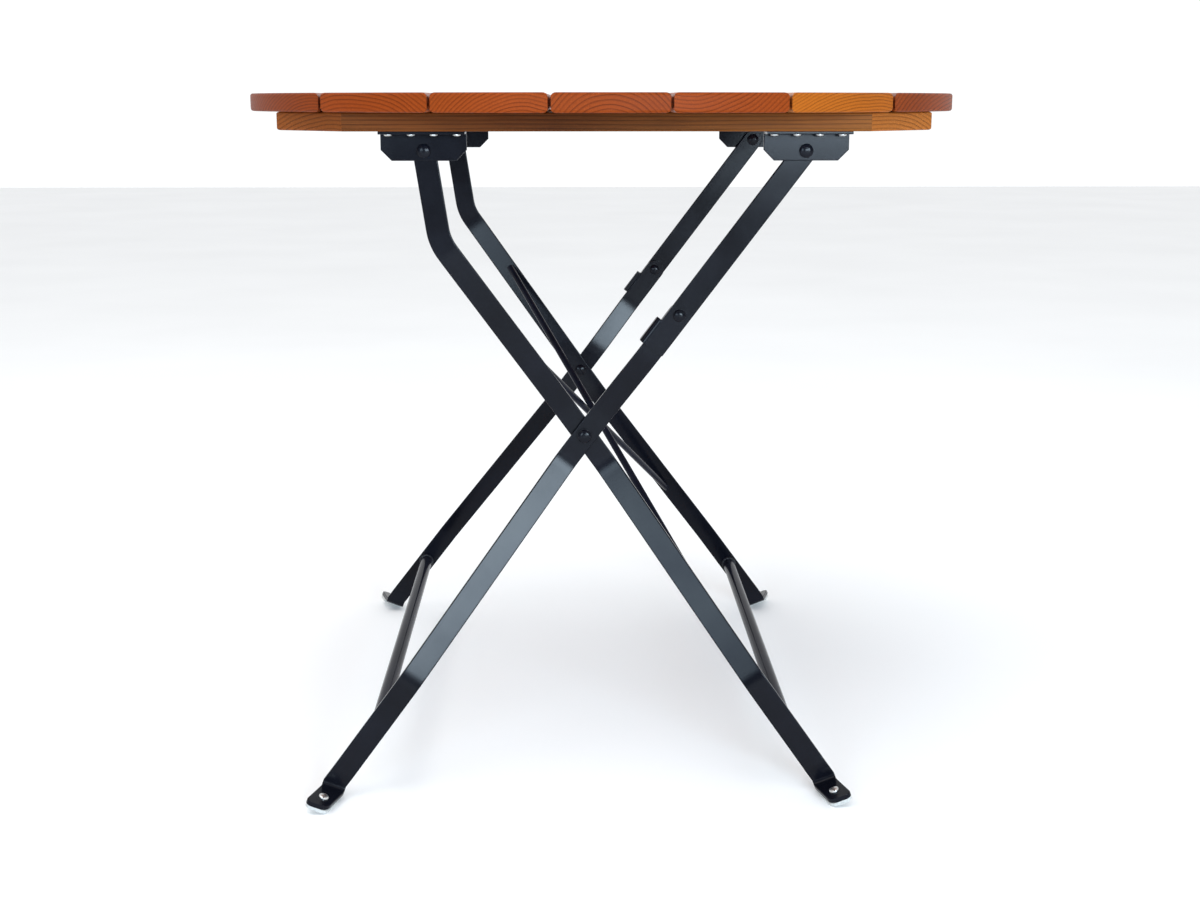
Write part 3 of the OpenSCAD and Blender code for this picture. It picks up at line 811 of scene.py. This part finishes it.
def steel_of(context):
    """The steel settings and the one powder-coat material."""
    steel = context.scene.table_steel
    material = bpy.data.materials.get("powder_coat") or powder_coat("powder_coat", steel.steel_colour)
    return steel, material


def dress(nodes, material):
    """Gives CAD nodes a material and leaves their meshes as packed."""
    for name in nodes:
        mesh = frame["nodes"][name].data
        mesh.materials.clear()
        mesh.materials.append(material)


# ---- operators ----


def slat_outline(left, right, radius):
    """Plan of a slat, counterclockwise: straight long edges joined by arcs of the round top.

    An arc point at an angle a is radius * (cos a, sin a). A long edge at None is missing: the slat ends
    in the round rim there. Returns the points and which of their edges are rim.
    """
    rim_points, edge_points = 40, 24

    def half_y(x):
        return np.sqrt(radius**2 - x**2)

    def arc(start, end, count):
        a = np.linspace(start, end, count)
        return radius * np.column_stack([np.cos(a), np.sin(a)])

    def edge(x, direction):
        y = np.linspace(-half_y(x), half_y(x), edge_points)[1:-1] * direction
        return np.column_stack([np.full(edge_points - 2, x), y])

    def rim_edges(count):
        return np.concatenate([np.ones(count - 1, bool), np.zeros(edge_points - 1, bool)])

    if left is None:
        a = np.arctan2(half_y(right), right)
        parts, is_rim = [arc(a, 2 * np.pi - a, 4 * rim_points), edge(right, 1)], rim_edges(4 * rim_points)
    elif right is None:
        a = np.arctan2(half_y(left), left)
        parts, is_rim = [arc(-a, a, 4 * rim_points), edge(left, -1)], rim_edges(4 * rim_points)
    else:
        a, b = np.arctan2(half_y(right), right), np.arctan2(half_y(left), left)
        parts = [arc(-b, -a, rim_points), edge(right, 1), arc(a, b, rim_points), edge(left, -1)]
        is_rim = np.tile(rim_edges(rim_points), 2)
    return np.concatenate(parts), is_rim


def slat_surface(left, right, low, high, top):
    """A slat as a board, and which of its outline's edges are rim."""

    def outline_at(share, keep):
        step = top.edge_radius * share + keep
        return slat_outline(
            None if left is None else left + step, None if right is None else right - step,
            TOP_RADIUS - top.rim_radius * share - keep,
        )[0]

    is_rim = slat_outline(left, right, TOP_RADIUS)[1]
    after = np.where(is_rim, top.rim_radius, top.edge_radius)
    return board(outline_at, (after + np.roll(after, 1)) / 2, low, high), is_rim


class TABLE_OT_slats(bpy.types.Operator):
    """Builds the seven slats of the round top"""

    bl_idname = "table.slats"
    bl_label = "Slats"

    def execute(self, context):
        top = context.scene.table_top
        tones = (0.94, 1.06, 0.98, 0.90, 0.97, 1.0, 0.88)
        piths = (
            (0.05, -0.06), (-0.02, -0.10), (0.03, -0.07), (0.0, -0.045), (-0.04, 0.09), (0.03, -0.13),
            (0.04, -0.08),
        )
        for i in range(SLATS):
            name = f"slat_{i + 1}"
            low, high = box_of(name)
            left = None if i == 0 else low[0]
            right = None if i == SLATS - 1 else high[0]
            surface, rim = slat_surface(left, right, low[2], high[2], top)
            colour = top.pale_colour if i == 5 else shade(top.slat_colour, tones[i])
            pith = ((low[0] + high[0]) / 2 + piths[i][0], (low[2] + high[2]) / 2 + piths[i][1])
            spacing = top.ring_spacing * (0.85 + 0.09 * (i * 3 % 5))
            face = wood_material(f"slat_wood_{i + 1}", colour, "Y", pith, spacing, seed=3.1 * i)
            ends = wood_material(f"slat_end_{i + 1}", colour, "Y", pith, spacing, end=True, seed=3.1 * i)
            marks = board_marks(surface, rim)
            piece(f"top_{name}", surface, [face, ends], "tabletop", [name], marks)
        return {"FINISHED"}


class TABLE_OT_battens(bpy.types.Operator):
    """Builds the two battens under the slats"""

    bl_idname = "table.battens"
    bl_label = "Battens"

    def execute(self, context):
        top = context.scene.table_top
        for side_name, side in SIDES:
            low, high = box_of(f"batten_{side_name}")
            inner, outer = (low[1], high[1]) if side > 0 else (high[1], low[1])
            cut = top.batten_cut
            corners = np.array([
                [low[0], inner], [high[0], inner], [high[0] - cut, outer], [low[0] + cut, outer],
            ])[::side]
            ends = np.repeat(np.arange(4), 30) % 2 == 1
            surface = cornered_board(corners, 30, top.batten_radius, low[2], high[2])
            pith, spacing = (side * 0.26, high[2] - 0.12), 0.0042
            face = wood_material(
                f"batten_wood_{side_name}", top.batten_colour, "X", pith, spacing, seed=11.0 * side
            )
            # The slanted ends take the batten wood 1.7 times lighter: painted light on the ends, beside the
            # front face that stands in shade.
            painted_light_end_colour = shade(top.batten_colour, 1.7)
            end = wood_material(
                f"batten_end_{side_name}", painted_light_end_colour, "X", pith, spacing, end=True, seed=7.0 * side
            )
            piece(
                f"board_{side_name}", surface, [face, end], "tabletop",
                [f"batten_{side_name}"], board_marks(surface, ends),
            )
        return {"FINISHED"}


class TABLE_OT_brackets(bpy.types.Operator):
    """Builds the four angle brackets"""

    bl_idname = "table.brackets"
    bl_label = "Brackets"

    def execute(self, context):
        steel, coat = steel_of(context)
        for side_name, side in SIDES:
            for end in ("left", "right"):
                node = f"bracket_{side_name}_{end}"
                low, high = box_of(node)
                face = high[1] - low[1]
                y0 = steel.side_y + 0.0005
                sheet, chamfer = steel.bracket_sheet, steel.bracket_corner
                r, lap = 0.0005, 0.0003
                x0, x1, z0, z1 = low[0], high[0], low[2], high[2]
                plan = np.array([
                    [x0, z1 - lap], [x0, z0 + chamfer], [x0 + chamfer, z0], [x1 - chamfer, z0],
                    [x1, z0 + chamfer], [x1, z1 - lap],
                ])
                points, faces = cornered_board(plan, 8, r, y0, y0 + sheet, 3)
                plate = points[:, [0, 2, 1]], [f[::-1] for f in faces]
                ledge_plan = np.array([
                    [x0 + lap, y0 + lap], [x1 - lap, y0 + lap], [x1 - lap, y0 + face], [x0 + lap, y0 + face],
                ])
                ledge = cornered_board(ledge_plan, 8, r, z1 - sheet, z1, 3)
                surface = mirrored(joined(plate, ledge), side)
                piece(f"angle_{side_name}_{end}", surface, [coat], "tabletop", [node])
        return {"FINISHED"}


class TABLE_OT_straight_legs(bpy.types.Operator):
    """Builds the two straight legs with their feet"""

    bl_idname = "table.straight_legs"
    bl_label = "Straight legs"

    def execute(self, context):
        steel, coat = steel_of(context)
        surface = straight_leg(steel, leg_shape(steel))
        for side_name, side in SIDES:
            piece(
                f"outer_leg_{side_name}", mirrored(surface, side), [coat], "outer_frame",
                [f"straight_leg_{side_name}"],
            )
        return {"FINISHED"}


class TABLE_OT_bent_legs(bpy.types.Operator):
    """Builds the two bent legs with their feet"""

    bl_idname = "table.bent_legs"
    bl_label = "Bent legs"

    def execute(self, context):
        steel, coat = steel_of(context)
        surface = bent_leg(steel, leg_shape(steel))
        for side_name, side in SIDES:
            piece(
                f"inner_leg_{side_name}", mirrored(surface, side), [coat], "inner_frame",
                [f"bent_leg_{side_name}"],
            )
        return {"FINISHED"}


class TABLE_OT_knee_links(bpy.types.Operator):
    """Builds the two knee links with their stop tabs"""

    bl_idname = "table.knee_links"
    bl_label = "Knee links"

    def execute(self, context):
        steel, coat = steel_of(context)
        surface = knee_link(steel, leg_shape(steel))
        for side_name, side in SIDES:
            piece(
                f"link_{side_name}", mirrored(surface, side), [coat], f"{side_name}_knee_link",
                [f"knee_link_{side_name}"],
            )
        return {"FINISHED"}


class TABLE_OT_welds(bpy.types.Operator):
    """Builds the weld beads of the stretchers"""

    bl_idname = "table.welds"
    bl_label = "Welds"

    def execute(self, context):
        steel = context.scene.table_steel
        coat = weld_coat("weld_coat", steel.steel_colour)
        for name, body in (("bent_leg", "inner_frame"), ("straight_leg", "outer_frame")):
            low, high = box_of(f"{name}_stretcher")
            middle = (low + high) / 2
            radius, proud = (high[0] - low[0]) / 2, 0.0002
            rings = [
                weld_ring([middle[0], side * (high[1] + proud), middle[2]], radius + proud, 0.0021, 13 + side)
                for side in (-1, 1)
            ]
            piece(f"welds_{name}_stretcher", joined(*rings), [coat], body, sharp=80)
        return {"FINISHED"}


class TABLE_OT_fittings(bpy.types.Operator):
    """Finishes the stretchers, braces, rivets, screws and glides that the CAD part gives"""

    bl_idname = "table.fittings"
    bl_label = "Fittings"

    def execute(self, context):
        _, coat = steel_of(context)
        zinc, glide = zinc_plate("zinc_plate"), clear_glide("clear_glide")
        shown = [n for n, o in frame["nodes"].items() if not o.hide_render]
        dress([n for n in shown if n.endswith("_screws")], zinc)
        dress([n for n in shown if n.startswith("glide")], glide)
        rods = [n for n in shown if n.endswith("stretcher") or n.startswith("brace")]
        # Stretchers and braces take a 2.2 times lighter copy of the powder coat with almost no gloss: painted
        # sheen in place of the rods' reflection.
        dress(rods, powder_coat("rod_coat_painted_sheen", shade(context.scene.table_steel.steel_colour, 2.2), 0.035))
        done = [n for n in shown if n.endswith("_screws") or n.startswith("glide")] + rods
        dress([n for n in shown if n not in done], coat)
        return {"FINISHED"}


class TABLE_OT_stage(bpy.types.Operator):
    """Sets up the floor, the lights and the camera"""

    bl_idname = "table.stage"
    bl_label = "Stage"

    def execute(self, context):
        stage = context.scene.table_stage
        size = stage.floor_size / 2
        mesh = bpy.data.meshes.new("floor")
        corners = [(-size, -size, 0), (size, -size, 0), (size, size, 0), (-size, size, 0)]
        mesh.from_pydata(corners, [], [(0, 1, 2, 3)])
        mesh.materials.append(floor_material("pale_floor"))
        floor = bpy.data.objects.new("floor", mesh)
        context.scene.collection.objects.link(floor)
        world = bpy.data.worlds.new("studio")
        context.scene.world = world
        world.use_nodes = True
        nodes, links = world.node_tree.nodes, world.node_tree.links
        facing = nodes.new("ShaderNodeVectorMath")
        facing.operation = "DOT_PRODUCT"
        facing.inputs[1].default_value = (0, 1, 1.2)
        links.new(nodes.new("ShaderNodeTexCoord").outputs["Generated"], facing.inputs[0])
        fade = nodes.new("ShaderNodeMapRange")
        links.new(facing.outputs["Value"], fade.inputs["Value"])
        for key, value in (("From Min", -0.35), ("From Max", 0.25), ("To Min", 0.07), ("To Max", 1.08)):
            fade.inputs[key].default_value = value
        background = nodes["Background"]
        background.inputs["Color"].default_value = (0.97, 0.985, 1.0, 1)
        links.new(fade.outputs["Result"], background.inputs["Strength"])
        context.scene.view_settings.view_transform = "Standard"
        for name, place, turn, width, height, power, colour in (
            ("window_right", (1.35, -4.2, 1.12), (88, 0, 17), 1.9, 1.0, 175, (0.70, 0.86, 1.0)),
            ("window_left", (-1.6, -4.2, 1.12), (88, 0, -19), 1.6, 1.0, 60, (0.66, 0.84, 1.0)),
            ("top_soft", (-0.8, -0.6, 3.2), (10, -14, 0), 2.6, 2.6, 40, (1.0, 0.98, 0.95)),
        ):
            data = bpy.data.lights.new(name, "AREA")
            data.shape = "RECTANGLE"
            data.size, data.size_y, data.energy, data.color = width, height, power, colour
            light = bpy.data.objects.new(name, data)
            light.location = place
            light.rotation_euler = np.radians(turn)
            context.scene.collection.objects.link(light)
        data = bpy.data.cameras.new("camera")
        data.sensor_width = 36.0
        data.lens = stage.lens
        camera = bpy.data.objects.new("camera", data)
        camera.location = stage.camera_place
        camera.rotation_euler = stage.camera_turn
        context.scene.collection.objects.link(camera)
        context.scene.camera = camera
        return {"FINISHED"}


STEPS = (
    "slats", "battens", "brackets", "straight_legs", "bent_legs", "knee_links", "welds", "fittings", "stage",
)


class TABLE_PT_panel(bpy.types.Panel):
    """Lists the table's pieces in the sidebar"""

    bl_idname = "TABLE_PT_panel"
    bl_label = "Folding Table"
    bl_space_type = "VIEW_3D"
    bl_region_type = "UI"
    bl_category = "Folding Table"

    def draw(self, context):
        for step in STEPS:
            self.layout.operator(f"table.{step}")


CLASSES = (
    TableTopSettings, SteelSettings, StageSettings, TABLE_OT_slats, TABLE_OT_battens, TABLE_OT_brackets,
    TABLE_OT_straight_legs, TABLE_OT_bent_legs, TABLE_OT_knee_links, TABLE_OT_welds, TABLE_OT_fittings,
    TABLE_OT_stage, TABLE_PT_panel,
)


def register():
    """Registers the classes and the scene's settings."""
    for cls in CLASSES:
        bpy.utils.register_class(cls)
    bpy.types.Scene.table_top = PointerProperty(type=TableTopSettings)
    bpy.types.Scene.table_steel = PointerProperty(type=SteelSettings)
    bpy.types.Scene.table_stage = PointerProperty(type=StageSettings)


def unregister():
    """Takes them away again."""
    del bpy.types.Scene.table_top, bpy.types.Scene.table_steel, bpy.types.Scene.table_stage
    for cls in reversed(CLASSES):
        bpy.utils.unregister_class(cls)


def main():
    """Builds every piece in order."""
    register()
    for step in STEPS:
        getattr(bpy.ops.table, step)()


if __name__ == "__main__":
    main()
